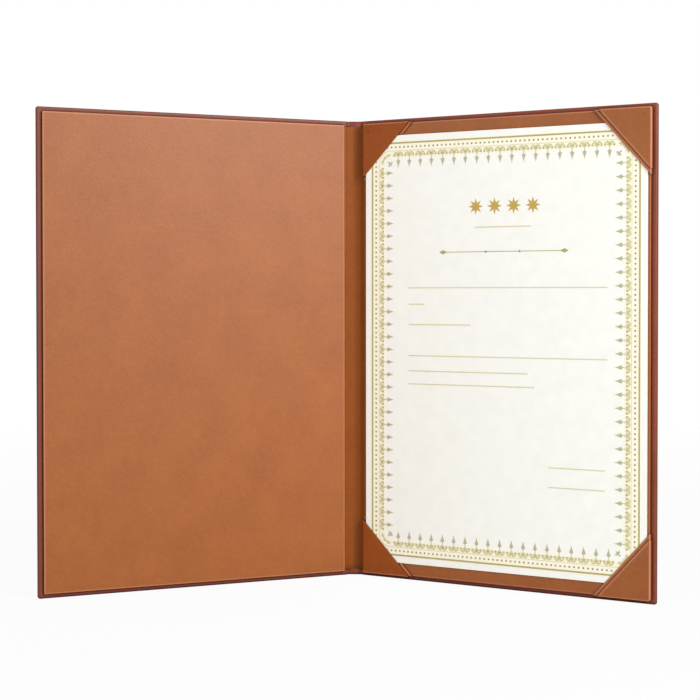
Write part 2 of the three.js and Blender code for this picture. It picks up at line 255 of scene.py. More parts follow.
def painted_gap_shade(tree, tone, deep, reach=GAP_REACH):
    """Paints shade into a colour, and dulls its gloss, where another surface is near."""
    open_share = add(tree, "ShaderNodeAmbientOcclusion", {"Distance": reach}, samples=8)
    steep = add(tree, "ShaderNodeMapRange", {
        "Value": open_share.outputs["AO"], "From Min": SHUT_AT, "From Max": OPEN_AT}).outputs["Result"]
    surface = tree.nodes["Principled BSDF"]
    dull = add(tree, "ShaderNodeMapRange", {
        "Value": steep, "To Min": 1.0, "To Max": surface.inputs["Roughness"].default_value})
    tree.links.new(dull.outputs["Result"], surface.inputs["Roughness"])
    return blended(tree, steep, colour(deep), tone)


# %% Leather material
PEBBLE_SIZE = 1.1 * MM
LEATHER_CLOUD = 35 * MM

pu_leather = bpy.data.materials.new("pu_leather_pebbled")
pu_leather.use_nodes = True
tree = pu_leather.node_tree
surface = tree.nodes["Principled BSDF"]
surface.inputs["IOR"].default_value = 1.5
surface.inputs["Roughness"].default_value = 0.46
surface.inputs["Specular IOR Level"].default_value = 0.35
place = add(tree, "ShaderNodeTexCoord").outputs["Object"]
cells = add(tree, "ShaderNodeTexVoronoi", {"Vector": place, "Scale": 1 / PEBBLE_SIZE}, feature="SMOOTH_F1")
clouds = add(tree, "ShaderNodeTexNoise", {"Vector": place, "Scale": 1 / LEATHER_CLOUD, "Detail": 5.0})
tone = add(tree, "ShaderNodeValToRGB", {"Fac": clouds.outputs["Fac"]})
tone.color_ramp.elements[0].position = 0.3
tone.color_ramp.elements[0].color = colour("813822")
tone.color_ramp.elements[1].position = 0.7
tone.color_ramp.elements[1].color = colour("90432B")
valleys = add(tree, "ShaderNodeMapRange", {
    "Value": cells.outputs["Distance"], "From Min": 0.3, "From Max": 0.8, "To Min": 0.0, "To Max": 0.35})
shaded = blended(tree, valleys.outputs["Result"], tone.outputs["Color"], colour("602A16"))
# Painted shade, 4C2612, on the folded edge and hem, where a point attribute says how much
edge_shade = add(tree, "ShaderNodeAttribute", attribute_name="painted_edge_light_and_shade").outputs["Fac"]
edge_shaded = blended(tree, edge_shade, shaded, colour("4C2612"))
# Painted shade, 3A0C02, in the gaps beside the panels
tree.links.new(painted_gap_shade(tree, edge_shaded, "3A0C02"), surface.inputs["Base Color"])
relief = add(tree, "ShaderNodeMath", {0: 1.0, 1: cells.outputs["Distance"]}, operation="SUBTRACT")
grain = add(tree, "ShaderNodeBump", {"Height": relief.outputs[0], "Strength": 0.35, "Distance": 0.12 * MM})
tree.links.new(grain.outputs["Normal"], surface.inputs["Normal"])
print(f"{pu_leather.name}: pebbles {PEBBLE_SIZE / MM:.1f} mm across")

# %% [markdown]
# ## Lining
#
# The panels, pockets and gutter strip are covered in a lighter brown lining with a soft, brushed face,
# like fine suede. Its short nap lies in faint clouds, which catch the light differently. Real fibres are
# far finer than a millimetre, so they are drawn coarser to show at all. The face has a broad, weak gloss,
# and the left panel shows it as a pale veil where it faces the key lamp. In the gutter, and on the
# pockets beside it, copies of the lining carry painted shade: their tone is deeper and their gloss
# weaker. Where the lining is rolled over an edge, a painted highlight makes it paler, and a point
# attribute says where.

# %% Lining material
NAP_CLOUD = 26 * MM
NAP_PATCH = 5 * MM
NAP_FIBRE = 1.8 * MM
PATCH_WEIGHT = 0.5
FIBRE_WEIGHT = 0.9


def lining_material(name, dark, light, deep, reach, gloss=0.5):
    """A brushed lining between two tones, with painted shade of a deep tone in gaps of a given reach."""
    made = bpy.data.materials.new(name)
    made.use_nodes = True
    tree = made.node_tree
    surface = tree.nodes["Principled BSDF"]
    surface.inputs["Roughness"].default_value = 0.5
    surface.inputs["IOR"].default_value = 1.5
    surface.inputs["Specular IOR Level"].default_value = gloss
    place = add(tree, "ShaderNodeTexCoord").outputs["Object"]
    clouds = add(tree, "ShaderNodeTexNoise", {"Vector": place, "Scale": 1 / NAP_CLOUD, "Detail": 4.0})
    patches = add(tree, "ShaderNodeTexNoise", {"Vector": place, "Scale": 1 / NAP_PATCH, "Detail": 3.0})
    fibres = add(tree, "ShaderNodeTexNoise", {"Vector": place, "Scale": 1 / NAP_FIBRE, "Detail": 2.0})
    half_mix = add(tree, "ShaderNodeMath", {
        0: patches.outputs["Fac"], 1: PATCH_WEIGHT, 2: clouds.outputs["Fac"]}, operation="MULTIPLY_ADD")
    whole = add(tree, "ShaderNodeMath", {
        0: fibres.outputs["Fac"], 1: FIBRE_WEIGHT, 2: half_mix.outputs[0]}, operation="MULTIPLY_ADD")
    share = add(tree, "ShaderNodeMapRange", {"Value": whole.outputs[0], "From Min": 0.7, "From Max": 1.7})
    tone = blended(tree, share.outputs["Result"], colour(dark), colour(light))
    # Painted highlight, D08E6C, on rolled edges, where a point attribute says how much
    edge_paint = add(tree, "ShaderNodeAttribute", attribute_name="painted_edge_light_and_shade").outputs["Fac"]
    edge_highlighted = blended(tree, edge_paint, tone, colour("D08E6C"))
    tree.links.new(painted_gap_shade(tree, edge_highlighted, deep, reach), surface.inputs["Base Color"])
    nap = add(tree, "ShaderNodeBump", {"Height": fibres.outputs["Fac"], "Strength": 0.4, "Distance": 0.2 * MM})
    tree.links.new(nap.outputs["Normal"], surface.inputs["Normal"])
    print(f"{name}: fibres {NAP_FIBRE / MM:.1f} mm across")
    return made


# The gutter and gutter-side pocket copies are the same lining with painted shade: darker tones, and painted
# shade that reaches further in the gutter
lining = lining_material("brushed_lining", "8B4710", "9D571A", "421000", GAP_REACH)
gutter_lining = lining_material("brushed_lining_gutter_shade", "874209", "965014", "280600", GUTTER_REACH, 0.2)
pocket_lining = lining_material("brushed_lining_pocket_shade", "883F0A", "984D14", "3C0E00", GAP_REACH, 0.2)

# %% [markdown]
# ## Paper, ink and bare board
#
# The certificate is a cream card with a matt, faintly mottled face. The border is printed in dull gold
# ink: metallic ink on uncoated card reads as an olive gold, with little shine. Grey board is pressed
# waste paper, and it is almost wholly hidden.

# %% Paper, ink and board materials
PAPER_MOTTLE = 9 * MM
INK_SPECK = 1.2 * MM
BOARD_FLECK = 1.5 * MM


def mottled_material(name, dark, light, grain_size, roughness, bump):
    """A matt material whose tone wanders between two colours over a grain size."""
    made = bpy.data.materials.new(name)
    made.use_nodes = True
    tree = made.node_tree
    surface = tree.nodes["Principled BSDF"]
    surface.inputs["Roughness"].default_value = roughness
    place = add(tree, "ShaderNodeTexCoord").outputs["Object"]
    mottle = add(tree, "ShaderNodeTexNoise", {"Vector": place, "Scale": 1 / grain_size, "Detail": 5.0})
    tone = add(tree, "ShaderNodeValToRGB", {"Fac": mottle.outputs["Fac"]})
    tone.color_ramp.elements[0].position = 0.3
    tone.color_ramp.elements[0].color = colour(dark)
    tone.color_ramp.elements[1].position = 0.7
    tone.color_ramp.elements[1].color = colour(light)
    tree.links.new(tone.outputs["Color"], surface.inputs["Base Color"])
    tooth = add(tree, "ShaderNodeBump", {"Height": mottle.outputs["Fac"], "Strength": 0.2, "Distance": bump})
    tree.links.new(tooth.outputs["Normal"], surface.inputs["Normal"])
    print(f"{name}: mottle {grain_size / MM:.1f} mm across")
    return made


card = mottled_material("cream_card", "F2F3EC", "F6F7F1", PAPER_MOTTLE, 0.7, 0.05 * MM)
gold_ink = mottled_material("dull_gold_ink", "A79A58", "B6A968", INK_SPECK, 0.5, 0.01 * MM)
bold_gold_ink = mottled_material("bold_gold_ink", "B4942E", "C4A548", INK_SPECK, 0.4, 0.01 * MM)
olive_ink = mottled_material("olive_ink", "8E895E", "9C976C", INK_SPECK, 0.5, 0.01 * MM)
spear_ink = mottled_material("pale_olive_ink", "AFAB86", "BCB894", INK_SPECK, 0.5, 0.01 * MM)
cream_tint = mottled_material("cream_tint_ink", "F7F2DA", "F9F5E2", PAPER_MOTTLE, 0.6, 0.01 * MM)
pale_gold_ink = mottled_material("pale_gold_ink", "CFC894", "DAD3A4", INK_SPECK, 0.5, 0.01 * MM)
grey_board = mottled_material("grey_board", "8C867C", "A8A197", BOARD_FLECK, 0.9, 0.05 * MM)

# %% CAD nodes that stay get their own finishes
for node_name in ("front_board", "back_board", "front_panel_board", "back_panel_board", "spine_card"):
    frame["nodes"][node_name].data.materials[0] = grey_board
frame["nodes"]["certificate"].data.materials[0] = card

# %% [markdown]
# ## From flat to folded
#
# The leather and the gutter strip are flat sheets before the cover is folded. So they are modelled flat,
# over a line that runs across both boards, and then folded at the two spine edges. The fold mixes the
# spine's place with the board's over a few millimetres, which gives the soft bend of real leather.

# %% The fold, and the place of a point on a board
FOLD_REACH = 2.6


def smooth_step(value):
    """Rises smoothly from 0 to 1."""
    value = min(max(value, 0), 1)
    return value * value * (3 - 2 * value)


def on_board(side, along, depth, up):
    """A point of a board's own frame, in the row's frame: side is 1 for the back board, -1 for the front."""
    across = HALF_SPINE + along * cos(BEND) + depth * sin(BEND)
    return Vector((side * across, HINGE_Y - along * sin(BEND) + depth * cos(BEND), up)) * MM


def folded(across, depth, up):
    """A point of the flat cover after folding. The middle of the spine is at across 0."""
    side = 1 if across >= 0 else -1
    share = smooth_step((abs(across) - HALF_SPINE + FOLD_REACH) / (2 * FOLD_REACH))
    on_spine = Vector((across, HINGE_Y + depth, up)) * MM
    return on_spine.lerp(on_board(side, abs(across) - HALF_SPINE, depth, up), share)


def bends_at_hinge(piece):
    """Bakes a folded piece's placement into its points."""
    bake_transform(piece)


# %% Turning lists of points and faces into finished pieces
MERGE_DISTANCE = 0.001
SHARP_ANGLE = radians(40)


def plain_mesh(obj):
    """Applies an object's modifiers and removes them."""
    evaluated = obj.evaluated_get(bpy.context.evaluated_depsgraph_get())
    made = bpy.data.meshes.new_from_object(evaluated)
    obj.modifiers.clear()
    obj.data = made
    return obj


def sheet_piece(name, points, faces, material, thickness, placed, outward, edge_paint=None, even=True):
    """A sheet of a given thickness from its outer surface, in flat millimetres, put in place by a function.

    An optional list of amounts from 0 to 1, one for each point, paints light and shade on the folded
    edges. even keeps the wall's thickness at folds, and is left off where thin faces meet at a mitre.
    """
    assert edge_paint is None or len(edge_paint) == len(points), name
    mesh = bpy.data.meshes.new(name)
    mesh.from_pydata(points, [], faces)
    if edge_paint:
        mesh.attributes.new("painted_edge_light_and_shade", "FLOAT", "POINT").data.foreach_set("value", edge_paint)
    shape = bmesh.new()
    shape.from_mesh(mesh)
    bmesh.ops.remove_doubles(shape, verts=shape.verts, dist=MERGE_DISTANCE)
    bmesh.ops.dissolve_degenerate(shape, dist=MERGE_DISTANCE, edges=shape.edges)
    shape.faces.ensure_lookup_table()
    widest = max(shape.faces, key=lambda face: face.calc_area())
    if widest.normal.dot(Vector(outward)) < 0:
        bmesh.ops.reverse_faces(shape, faces=shape.faces)
    shape.to_mesh(mesh)
    shape.free()
    obj = bpy.data.objects.new(name, mesh)
    bpy.context.collection.objects.link(obj)
    wall = obj.modifiers.new("wall", "SOLIDIFY")
    wall.thickness = thickness
    wall.offset = -1
    wall.use_even_offset = even
    plain_mesh(obj)
    for vertex in obj.data.vertices:
        vertex.co = placed(*vertex.co)
    obj.data.materials.clear()
    obj.data.materials.append(material)
    obj.data.shade_smooth()
    obj.data.set_sharp_from_angle(angle=SHARP_ANGLE)
    print(f"{name}: {len(obj.data.polygons)} faces")
    return obj


# %% [markdown]
# ## A sheet wrapped round an edge
#
# Leather and lining are both wrapped the same way: the sheet covers one face, rolls over the edge and
# ends in a turned-in hem on the other face. So one function sweeps such a profile round three edges of
# a half rectangle. A profile point is an inset from the outer edge and a depth. At the corners the hem
# folds into a mitre, as it does on a real cover.

# %% Wrapped half sheets
CORNER_STEPS = 6
EDGE_STEPS = 5
ROLL_END = 0.4
HEM_START = 1.0


def quarter_turn(steps):
    """Angles from 0 to a right angle."""
    return [pi / 2 * step / steps for step in range(steps + 1)]


def stations(x_stops):
    """Places along the bottom edge, round the far corners and back along the top edge."""
    quarter = quarter_turn(CORNER_STEPS)
    route = [("bottom", x) for x in x_stops]
    route += [(corner, turn) for corner in ("low_corner", "high_corner") for turn in quarter]
    return route + [("top", x) for x in reversed(x_stops)]


def station_point(station, inset, x_end, z_low, z_high, radius):
    """Where a station lies after it moves inwards by an inset."""
    kind, value = station
    reach = max(radius, inset)
    left_over = max(radius - inset, 0)
    x_corner = x_end - reach
    if kind == "bottom":
        return min(value, x_corner), z_low + inset
    if kind == "top":
        return min(value, x_corner), z_high - inset
    if kind == "low_corner":
        return x_corner + left_over * sin(value), z_low + reach - left_over * cos(value)
    return x_corner + left_over * cos(value), z_high - reach + left_over * sin(value)


def wrapped_half(x_stops, x_end, z_low, z_high, radius, profile):
    """Points and faces of a half sheet. profile(x) lists (inset, depth) from the face to the hem's end."""
    route = stations(x_stops)
    points = []
    for station in route:
        kind, value = station
        x = value if kind in ("bottom", "top") else x_end
        for inset, depth in profile(x):
            px, pz = station_point(station, inset, x_end, z_low, z_high, radius)
            points.append((px, depth, pz))
    row = len(points) // len(route)
    faces = []
    for i in range(len(route) - 1):
        for j in range(row - 1):
            a = i * row + j
            faces.append((a, a + 1, a + row + 1, a + row))
    for i in range(len(route) // 2 - 1):
        mirror = len(route) - 1 - i
        faces.append((i * row, (i + 1) * row, (mirror - 1) * row, mirror * row))
    return points, faces


def rolled_edge(depth_face, depth_hem, roll_face, roll_hem, hem_width):
    """A profile: flat face, roll over the edge, and hem. Depths run from the face to the hem."""
    sign = 1 if depth_hem > depth_face else -1
    turns = quarter_turn(EDGE_STEPS)
    profile = [(roll_face + ROLL_END, depth_face)]
    for turn in turns:
        profile.append((roll_face * (1 - sin(turn)), depth_face + sign * roll_face * (1 - cos(turn))))
    for turn in turns:
        profile.append((roll_hem * (1 - cos(turn)), depth_hem - sign * roll_hem * (1 - sin(turn))))
    profile += [(roll_hem + ROLL_END, depth_hem), (roll_hem + HEM_START, depth_hem), (hem_width, depth_hem)]
    return profile


# %% [markdown]
# ## The leather cover
#
# One sheet of leather covers both boards and the spine. Each half is made from the middle of the spine
# to the fore edge, and is folded at its spine edge. The hem lies on the inner face of board and spine, and
# it is narrower over the spine. The front cover's edges and hem carry more painted shade than the back's.

# %% Leather, in two halves that meet in the middle of the spine
COVER_CORNER_RADIUS = 1.5
COVER_ROLL = 0.9
BOARD_HEM = 14.0
SPINE_HEM = 3.6
HEM_WIDENS_AT = HALF_SPINE + JOINT_WIDTH + 1
HEM_WIDENS_OVER = 3


def hem_depth(across):
    """Depth of the hem's inner face: over the spine's card, then rising onto the boards."""
    share = smooth_step((across - SPINE_CARD_HALF) / (HALF_SPINE + JOINT_WIDTH - SPINE_CARD_HALF))
    return SPINE_HEM_INNER + (TURN_IN_INNER - SPINE_HEM_INNER) * share


def leather_profile(across):
    """The wrap's profile at a place along the cover."""
    inner = hem_depth(across)
    roll = min(COVER_ROLL, (LEATHER_OUTER - inner) / 2.4)
    widening = smooth_step((across - HEM_WIDENS_AT) / HEM_WIDENS_OVER)
    return rolled_edge(LEATHER_OUTER, inner, roll, roll, SPINE_HEM + (BOARD_HEM - SPINE_HEM) * widening)


GROOVE_STOPS = [HALF_SPINE + 0.35 * step for step in range(-14, 15)]
BOARD_STOPS = [16, 20, 40, 80, 120, 160, 200, 215]
leather_stops = [0.0] + [x for x in GROOVE_STOPS if x > 0] + [HALF_SPINE + 6, *BOARD_STOPS]
leather_points, leather_faces = wrapped_half(
    leather_stops, HALF_SPINE + COVER_WIDTH, 0, COVER_HEIGHT, COVER_CORNER_RADIUS, leather_profile)

# Painted shade along a profile: the face's end, the roll over the edge, the roll onto the hem, and the hem
FRONT_EDGE_SHADE = [0.0] + [0.9] * (EDGE_STEPS + 1) + [0.9, 0.8, 0.65, 0.5, 0.4, 0.35] + [0.3] * 3
BACK_EDGE_SHADE = [0.0] + [0.8] * (EDGE_STEPS + 1) + [0.7, 0.5, 0.3, 0.15, 0.05, 0.0] + [0.0] * 3
for name, side, body, nodes, edge_shade_row in (
        ("leather_front_half", -1, "front_cover", ["front_leather"], FRONT_EDGE_SHADE),
        ("leather_back_half", 1, "back_cover", ["back_leather", "spine_leather"], BACK_EDGE_SHADE)):
    half_points = [(side * x, depth, z) for x, depth, z in leather_points]
    piece = sheet_piece(name, half_points, leather_faces, pu_leather, LEATHER, folded, (0, 1, 0),
                        edge_shade_row * (len(half_points) // len(edge_shade_row)))
    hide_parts(*nodes)
    bends_at_hinge(piece)

# %% [markdown]
# ## The gutter strip
#
# A strip of lining covers the joint from the inside. It comes out from under one panel, curves over the
# spine and goes in under the other. Seen from the front it is one smooth hollow, and its edges lie in
# the panels' shade. Such a strip has no detail along its length, so a list of depths across it is enough.

# %% Gutter strip, in two halves
HOLLOW_HALF = 7.7


def strip_depth(across):
    """Depth of the strip's visible face: shallow at the spine's middle, deep under the panels."""
    share = smooth_step(across / HOLLOW_HALF)
    return SPINE_LINING_INNER + (FLANGE_INNER - SPINE_LINING_INNER) * share


STRIP_STEP = 0.2
FINE_STEPS = int((HALF_SPINE + 4) / STRIP_STEP)
strip_across = [STRIP_STEP * i for i in range(FINE_STEPS + 1)] + [HALF_SPINE + 6, HALF_SPINE + FLANGE_END]
for name, side, body, nodes in (
        ("gutter_strip_front_half", -1, "front_cover", ["front_gutter_lining"]),
        ("gutter_strip_back_half", 1, "back_cover", ["back_gutter_lining", "spine_gutter_lining"])):
    strip_points = []
    for across in strip_across:
        strip_points += [(side * across, strip_depth(across), z) for z in (STRIP_BOTTOM, STRIP_TOP)]
    strip_faces = [(2 * i, 2 * i + 1, 2 * i + 3, 2 * i + 2) for i in range(len(strip_across) - 1)]
    piece = sheet_piece(name, strip_points, strip_faces, gutter_lining, LINING, folded, (0, -1, 0))
    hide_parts(*nodes)
    bends_at_hinge(piece)

# %% [markdown]
# ## The inner panels
#
# Each panel is a thin card with the lining rolled over its four edges. The rolled edge catches the
# light as a bright line round the panel, and a painted highlight on it makes the line paler. Half a panel
# is swept like the cover and mirrored.

# %% Panels
PANEL_ROLL_FRONT = 0.65
PANEL_ROLL_BACK = 0.35
PANEL_HEM = 12.0
PANEL_CORNER_RADIUS = 0.7


def panel_profile(_across):
    """The wrap's profile, the same all round a panel."""
    return rolled_edge(PANEL_FRONT, PANEL_BACK, PANEL_ROLL_FRONT, PANEL_ROLL_BACK, PANEL_HEM)


PANEL_HALF = (PANEL_RIGHT - PANEL_LEFT) / 2
PANEL_MIDDLE = (PANEL_LEFT + PANEL_RIGHT) / 2
# Painted highlight on a panel's ends and on its sides
PANEL_EDGE_HIGHLIGHT = {"front": (0.45, 0.45), "back": (0.4, 0.0)}
panel_stops = [0, 25, 50, 75, 95, 104]
half_points, half_faces = wrapped_half(
    panel_stops, PANEL_HALF, PANEL_BOTTOM, PANEL_TOP, PANEL_CORNER_RADIUS, panel_profile)
profile_length = len(panel_profile(0))


def panel_edge_highlight(on_ends, on_sides):
    """Painted highlight for every point: on the roll, by whether a station is on the panel's ends or its sides.
    """
    edge_paint = []
    for kind, _place in stations(panel_stops):
        amount = on_ends if kind in ("bottom", "top") else on_sides
        edge_paint += [0.0] + [amount] * (EDGE_STEPS + 1) + [0.0] * (profile_length - EDGE_STEPS - 2)
    return edge_paint * 2


panel_points = half_points + [(-x, depth, z) for x, depth, z in half_points]
panel_faces = half_faces + [tuple(reversed([i + len(half_points) for i in face])) for face in half_faces]

for cover, side in (("front", -1), ("back", 1)):
    piece = sheet_piece(
        f"panel_{cover}", panel_points, panel_faces, lining, LINING,
        lambda x, depth, z, side=side: on_board(side, PANEL_MIDDLE + side * x, depth, z), (0, -1, 0),
        panel_edge_highlight(*PANEL_EDGE_HIGHLIGHT[cover]))
    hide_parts(f"{cover}_panel_lining")
    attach(piece, f"{cover}_cover")

# %% [markdown]
# ## The corner pockets
#
# A pocket is a strip of lining folded over the corner and wrapped round the panel's edges. Its lower
# layer ends in a rounded bead along the slanting edge. Its upper layer ends in a fold a little further
# back, so a dark crease runs between them. The sheet is tucked between the layers at the gutter side and
# under both at the fore edge. Folds and rolls carry a painted highlight, except beside the gutter, where
# the pockets take the lining copy with painted shade. Each layer is swept round the corner: from the
# slanting edge to the panel's edge, over it and down its side, with a mitre between the two legs.

# %% Pocket layers
POCKET_ROLL = 0.5
UNDER_RIM = 0.35
TOP_RIM = 0.65
POCKET_DROP = PANEL_BACK - 0.05
LEG_STOPS = 24
LAYER = 0.28
SHEET_END_MARGIN = (PANEL_TOP - PANEL_BOTTOM - SHEET_HEIGHT) / 2
UNDER_RISE = 0.75
SHEET_CLEARANCE = 0.1
RISE_WIDTH = 0.8
RIM_RISE_WIDTH = 0.6
# No face point comes nearer to the roll than this, so the roll's painted highlight stays on the roll
GUARD_WIDTH = 0.5
GUARD_SHARE = 0.2
FACE_SHARES = (2 / 3, 1 / 3, 0)
# Steps back from the slanting edge, and the depth to add at each: first round the fold, then the face
BEAD = ((0.35, 0.55), (0.08, 0.42), (0.0, 0.25), (0.15, 0.05), (0.6, -0.12), (1.2, -0.18), (1.9, -0.12),
        (2.5, 0.02), (3.0, 0.16), (4.0, 0.16), (8.0, 0.16))
FOLD = ((0.4, 0.55), (0.08, 0.45), (0.0, 0.25), (0.12, 0.07), (0.4, 0.0), (1.0, -0.03), (2.5, -0.03),
        (5.0, -0.02), (10.0, 0.0))


def pocket_layer(leg_across, leg_up, front, rim, edge, under_sheet):
    """Points and faces of one layer in corner coordinates: a across and b up from the panel's corner.

    A layer under the sheet lies flat there, and stands higher beyond the sheet's edge.
    """
    meet = leg_across * leg_up / (leg_across + leg_up)
    rim_start = POCKET_ROLL - rim
    radius = PANEL_CORNER_RADIUS
    leg_shares = [i / LEG_STOPS for i in range(LEG_STOPS + 1)]
    route = [("across", leg_across * (1 - share) + radius * share) for share in leg_shares]
    route += [("corner", turn) for turn in quarter_turn(CORNER_STEPS)]
    route += [("up", radius * (1 - share) + leg_up * share) for share in leg_shares]
    points = []
    for kind, value in route:
        leg, other = (leg_up, leg_across) if kind == "up" else (leg_across, leg_up)
        insets = []
        for back, _raised in edge:
            on_mitre = meet * (1 - back / other)
            on_slant = on_mitre if kind == "corner" else other * (1 - value / leg) - back
            insets.append(max(min(on_slant, on_mitre), rim_start))
        guard = rim_start + min(GUARD_WIDTH, (max(insets) - rim_start) * GUARD_SHARE)
        insets = [max(inset, guard) for inset in insets]
        row = [(inset, front + raised) for inset, (_back, raised) in zip(insets, edge)]
        row += [(guard + (insets[-1] - guard) * share, front) for share in FACE_SHARES]
        row += [(-rim + POCKET_ROLL * (1 - sin(turn)), front + POCKET_ROLL * (1 - cos(turn)))
                for turn in quarter_turn(EDGE_STEPS)]
        row.append((-rim, POCKET_DROP))
        for inset, depth in row:
            inner = max(inset, radius)
            left_over = max(radius - inset, 0)
            if kind == "across":
                point = (max(value, inner), inset)
            elif kind == "up":
                point = (inset, max(value, inner))
            else:
                point = (inner - left_over * sin(value), inner - left_over * cos(value))
            if under_sheet:
                beyond = smooth_step((SHEET_END_MARGIN - SHEET_CLEARANCE - point[1]) / RISE_WIDTH)
                depth -= UNDER_RISE * beyond * smooth_step((inset + rim) / RIM_RISE_WIDTH)
            points.append((point[0], depth, point[1]))
    width = len(points) // len(route)
    faces = [(i * width + j, i * width + j + 1, (i + 1) * width + j + 1, (i + 1) * width + j)
             for i in range(len(route) - 1) for j in range(width - 1)]
    return points, faces


# %% Four pockets
CORNERS = {
    "top_gutter": (PANEL_LEFT, -1, PANEL_TOP, 1),
    "top_fore": (PANEL_RIGHT, 1, PANEL_TOP, 1),
    "bottom_gutter": (PANEL_LEFT, -1, PANEL_BOTTOM, -1),
    "bottom_fore": (PANEL_RIGHT, 1, PANEL_BOTTOM, -1),
}
# For each layer: its two legs, the depth of its face, its rim past the panel and its slanting edge
GUTTER_LAYERS = {
    "under": (38.9, 39.4, -4.25, UNDER_RIM, BEAD),
    "top": (36.0, 36.5, -5.2, TOP_RIM, FOLD),
}
FORE_LAYERS = {
    "under": (38.6, 42.4, -5.0, UNDER_RIM, BEAD),
    "top": (35.2, 38.8, -5.35, TOP_RIM, FOLD),
}
SLANT_HIGHLIGHT = 0.4
POCKET_ROLL_HIGHLIGHT = 0.5
LEG_KINDS = ("across",) * (LEG_STOPS + 1) + ("corner",) * (CORNER_STEPS + 1) + ("up",) * (LEG_STOPS + 1)


def pocket_edge_highlight(edge, slant, roll_beside_gutter):
    """Painted highlight for every point: round the slanting fold, and on the roll over the panel's edges."""
    edge_paint = []
    for kind in LEG_KINDS:
        roll = roll_beside_gutter if kind == "up" else POCKET_ROLL_HIGHLIGHT
        edge_paint += [0.0, 0.0] + [slant] * 4 + [0.0] * (len(edge) - 6 + len(FACE_SHARES))
        edge_paint += [roll] * (EDGE_STEPS + 1) + [0.0]
    return edge_paint


for corner, (corner_x, out_x, corner_z, out_z) in CORNERS.items():
    at_gutter = out_x < 0
    for layer, layer_sizes in (GUTTER_LAYERS if at_gutter else FORE_LAYERS).items():
        layer_points, layer_faces = pocket_layer(*layer_sizes, at_gutter and layer == "under")
        edge_paint = pocket_edge_highlight(layer_sizes[-1], 0.0 if at_gutter and layer == "top" else SLANT_HIGHLIGHT,
                           0.0 if at_gutter else POCKET_ROLL_HIGHLIGHT)
        # Beside the gutter the pockets take the lining copy with painted shade
        cloth = pocket_lining if at_gutter else lining
        piece = sheet_piece(
            f"pocket_{corner}_{layer}", layer_points, layer_faces, cloth, LAYER,
            lambda a, depth, b, c=(corner_x, out_x, corner_z, out_z): on_board(
                1, c[0] - c[1] * a, depth, c[2] - c[3] * b), (0, -1, 0), edge_paint, even=False)
        if out_x * out_z < 0:
            piece.data.flip_normals()
        if layer == "under":
            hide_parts(f"pocket_{corner}")
        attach(piece, "back_cover")

# %% [markdown]
# ## The printed border
#
# The border is a traditional one: a line, a row of dots, a thin line, small fans with eyes between them,
# and a row of spears that point inwards. These repeat hundreds of times, so Geometry Nodes set them along
# the sides. Each motif is a thin plate of ink. The tree puts copies along four lines and makes them real.

# %% Flat motifs of ink
INK = 0.04
INK_LIFT = 0.03


def ink_motif(name, outlines, material):
    """A mesh object with one thin plate for each outline, lying in XY and facing +Z."""
    points, faces = [], []
    for outline in outlines:
        if signed_area(outline) < 0:
            outline = outline[::-1]
        first = len(points)
        count = len(outline)
        points += [(x, y, INK) for x, y in outline] + [(x, y, 0) for x, y in outline]
        faces.append(tuple(first + i for i in range(count)))
        faces.append(tuple(first + count + i for i in reversed(range(count))))
        for i in range(count):
            after = (i + 1) % count
            faces.append((first + i, first + count + i, first + count + after, first + after))
    mesh = bpy.data.meshes.new(name)
    mesh.from_pydata(points, [], faces)
    mesh.materials.append(material)
    return bpy.data.objects.new(name, mesh)


def signed_area(outline):
    """Twice an outline's area, positive when it runs anticlockwise."""
    return sum(a[0] * b[1] - b[0] * a[1] for a, b in zip(outline, outline[1:] + outline[:1]))


def disc(x, y, radius, sides=8):
    """A round outline."""
    return [(x + radius * cos(2 * pi * i / sides), y + radius * sin(2 * pi * i / sides)) for i in range(sides)]


# %% The border's motifs, drawn with their base on the line and pointing along +Y
FAN_BASE = 0.3
SPEAR_BASE = 4.6
SPEAR_TIP = 11.4


def leaf(base, turn, length, width):
    """A leaf outline that grows from a base point. Turn 0 points along +Y, and minus leans right."""
    shape = [(0, 0), (0.5, 0.35), (0.42, 0.75), (0, 1), (-0.42, 0.75), (-0.5, 0.35)]
    return [(base[0] + x * width * cos(turn) - y * length * sin(turn),
             base[1] + x * width * sin(turn) + y * length * cos(turn)) for x, y in shape]


DOT_RADIUS = 0.72
ARM = [(0.5, 0.2), (1.6, 0.0), (3.0, 0.6), (4.1, 2.1), (3.9, 3.3),
       (3.0, 3.6), (2.2, 3.0), (2.5, 2.2), (1.6, 1.4), (0.6, 1.3)]
SPEAR = [(-0.16, SPEAR_BASE), (0.16, SPEAR_BASE), (0.4, 6.0), (1.5, 6.4), (1.1, 7.6), (0.4, 9.4),
         (0, SPEAR_TIP), (-0.4, 9.4), (-1.1, 7.6), (-1.5, 6.4), (-0.4, 6.0)]
dot_motif = ink_motif("dot_motif", [disc(0, 0, DOT_RADIUS)], olive_ink)
fan_motif = ink_motif("fan_motif", [
    leaf((0, FAN_BASE), 0, 4.4, 2.2),
    leaf((-0.5, 1.2), radians(34), 2.7, 1.1),
    leaf((0.5, 1.2), radians(-34), 2.7, 1.1),
    ARM,
    [(-x, y) for x, y in ARM],
], pale_gold_ink)
eye_motif = ink_motif("eye_motif", [
    disc(-3.1, 2.8, 0.5), disc(3.1, 2.8, 0.5),
    disc(-1.9, 1.0, 0.3), disc(1.9, 1.0, 0.3), disc(0, 2.4, 0.45),
], spear_ink)
spear_motif = ink_motif("spear_motif", [SPEAR], spear_ink)


